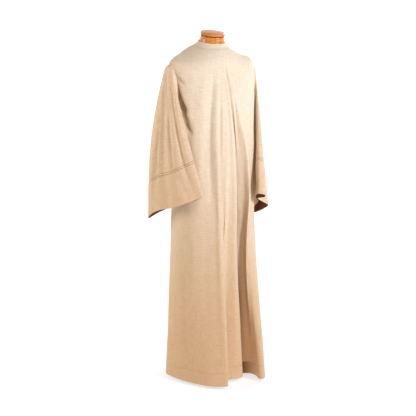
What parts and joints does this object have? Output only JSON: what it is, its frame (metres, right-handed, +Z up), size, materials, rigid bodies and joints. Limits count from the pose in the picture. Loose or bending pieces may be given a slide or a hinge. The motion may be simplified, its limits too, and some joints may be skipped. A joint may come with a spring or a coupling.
{
  "type": "alb on a dress form",
  "caption": "Full-length loose linen alb with bell sleeves, doubled cuffs and a low funnel collar, hanging in soft folds on a limbless dress form with a turned wooden neck.",
  "frame": {"origin": "centre of the base's underside, on the floor", "axes": "+Z up, the front of the garment faces -Y, +X is the wearer's left"},
  "size_m": [0.542, 0.4212, 1.5551],
  "materials": {
    "cloth": "matte washed linen",
    "wood": "turned and varnished beech",
    "form": "stretched cotton jersey cover",
    "metal": "satin powder coat"
  },
  "bodies": {
    "root": {"front_panel": "cloth", "back_panel_left": "cloth", "back_panel_right": "cloth", "collar_band": "cloth", "sleeve_right": "cloth", "cuff_right": "cloth", "sleeve_left": "cloth", "cuff_left": "cloth", "form_neck_block": "wood", "form_neck_cap": "wood", "form_torso": "form", "form_pole": "metal", "form_base": "metal"}
  },
  "joints": []
}
